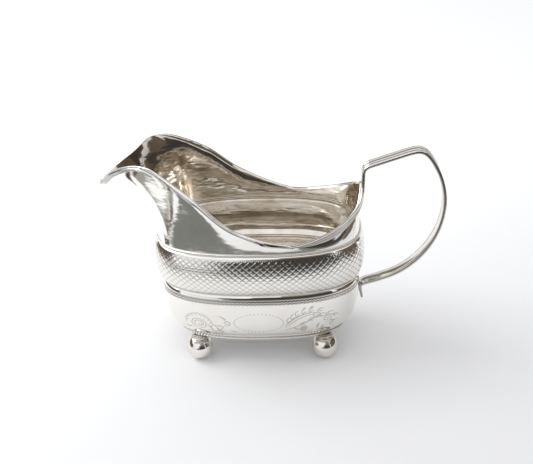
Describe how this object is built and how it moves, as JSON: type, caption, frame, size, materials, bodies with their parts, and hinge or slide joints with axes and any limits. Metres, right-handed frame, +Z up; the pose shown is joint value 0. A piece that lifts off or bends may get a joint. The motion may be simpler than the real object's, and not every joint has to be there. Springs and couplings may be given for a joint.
{
  "type": "cream jug",
  "caption": "Oblong silver cream jug on ball feet, with a wide drooping lip, a lattice girdle and a high reeded strap handle.",
  "frame": {"origin": "on the standing surface, under the middle of the overall length and width", "axes": "+X from the lip to the handle, +Y across the body, +Z up"},
  "size_m": [0.1453, 0.0582, 0.0928],
  "materials": {
    "plain_silver": "polished sterling silver with fine wear",
    "engraved_silver": "polished silver with bright-cut engraving",
    "cut_silver": "silver cut with a diagonal lattice, tarnish in the cuts",
    "silver_wire": "drawn and milled silver wire, tarnish in the grooves",
    "ball_silver": "polished silver ball, worn underneath"
  },
  "bodies": {
    "root": {"base_plate": "plain_silver", "base_wire": "silver_wire", "lower_body": "engraved_silver", "girdle": "cut_silver", "upper_body": "plain_silver", "lower_milled_wire": "silver_wire", "upper_milled_wire": "silver_wire", "rim_wire": "silver_wire", "handle": "plain_silver", "foot_collar_1": "ball_silver", "foot_collar_2": "ball_silver", "foot_collar_3": "ball_silver", "foot_collar_4": "ball_silver", "foot_cup_upper_1": "ball_silver", "foot_cup_upper_2": "ball_silver", "foot_cup_upper_3": "ball_silver", "foot_cup_upper_4": "ball_silver", "foot_cup_lower_1": "ball_silver", "foot_cup_lower_2": "ball_silver", "foot_cup_lower_3": "ball_silver", "foot_cup_lower_4": "ball_silver"}
  },
  "joints": []
}
